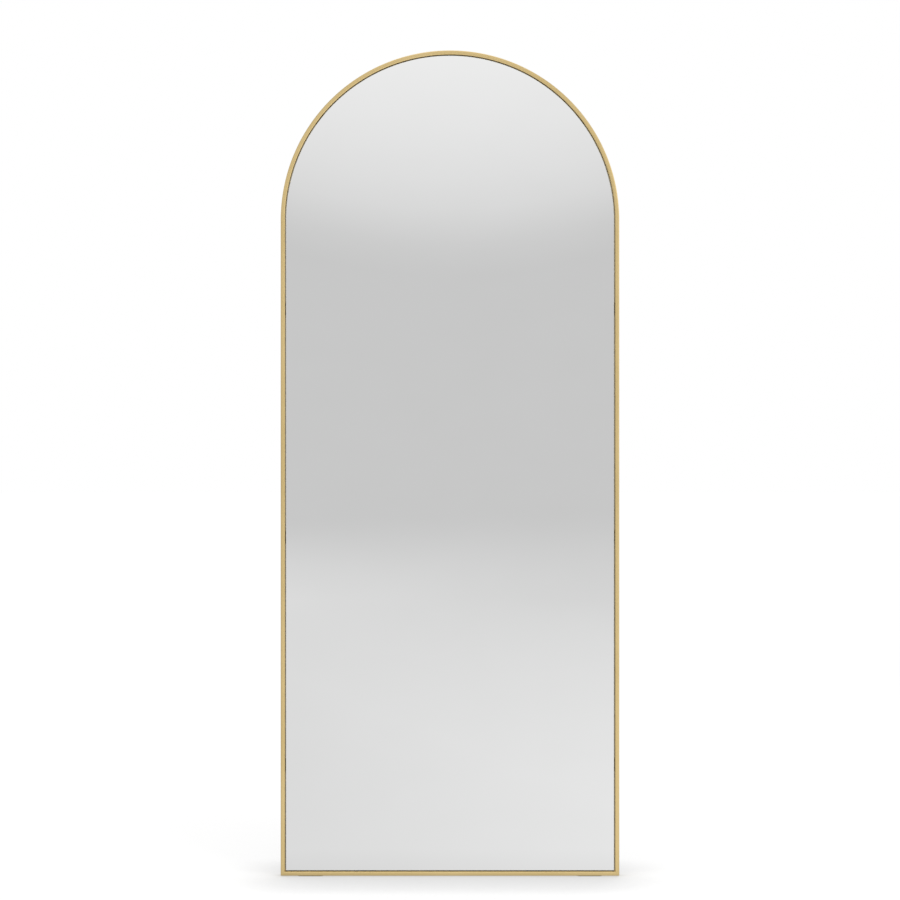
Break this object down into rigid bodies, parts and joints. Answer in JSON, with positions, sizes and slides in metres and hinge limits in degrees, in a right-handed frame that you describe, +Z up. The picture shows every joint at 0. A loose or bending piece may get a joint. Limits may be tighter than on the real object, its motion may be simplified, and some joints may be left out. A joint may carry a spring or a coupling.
{
  "type": "leaning floor mirror",
  "caption": "Full-length arched floor mirror: silvered glass on a board in a slim bent tube frame with a shadow gap, floor glides, wall pads and swinging hanger rings.",
  "frame": {"origin": "on the floor under the middle of the mirror's width and depth", "axes": "+X across the mirror to its viewer's right, +Y from the glass towards the wall, +Z up along the legs; the mirror stands upright here, and leans back about 5 degrees about X in use"},
  "size_m": [0.8, 0.0324, 1.9513],
  "materials": {
    "gold_frame": "satin brass plating on steel tube, fine brushed grain",
    "mirror": "silvered glass, polished",
    "splinter_film": "pale film, smooth",
    "foam": "white closed-cell foam tape",
    "adhesive": "cured mirror adhesive",
    "board": "black painted MDF, fine sanded texture",
    "screw_zinc": "bright zinc plating",
    "hanger_zinc": "zinc-plated steel",
    "rubber_pad": "matte black rubber"
  },
  "bodies": {
    "mirror": {"arch_tube": "gold_frame", "bottom_tube": "gold_frame", "mirror_glass": "mirror", "safety_film": "splinter_film", "foam_tape": "foam", "adhesive_beads": "adhesive", "backing_board": "board", "arch_tabs": "gold_frame", "bottom_tabs": "gold_frame", "leg_tabs_left": "gold_frame", "leg_tabs_right": "gold_frame", "tab_screws": "screw_zinc", "hanger_screws": "screw_zinc", "setting_block_left": "rubber_pad", "setting_block_right": "rubber_pad", "hanger_strap_left": "hanger_zinc", "hanger_strap_right": "hanger_zinc", "wall_bumper_upper_left": "rubber_pad", "wall_bumper_upper_right": "rubber_pad", "wall_bumper_lower_left": "rubber_pad", "wall_bumper_lower_right": "rubber_pad", "floor_glide_left": "rubber_pad", "floor_glide_right": "rubber_pad"},
    "ring_left": {"hanger_ring_left": "hanger_zinc"},
    "ring_right": {"hanger_ring_right": "hanger_zinc"}
  },
  "joints": [
    {"name": "ring_left_swing", "type": "hinge", "parent": "mirror", "child": "ring_left", "pos_m": [-0.21, 0.00513, 1.48], "axis": [1, 0, 0], "range_deg": [0, 177]},
    {"name": "ring_right_swing", "type": "hinge", "parent": "mirror", "child": "ring_right", "pos_m": [0.21, 0.00513, 1.48], "axis": [1, 0, 0], "range_deg": [0, 177]}
  ]
}
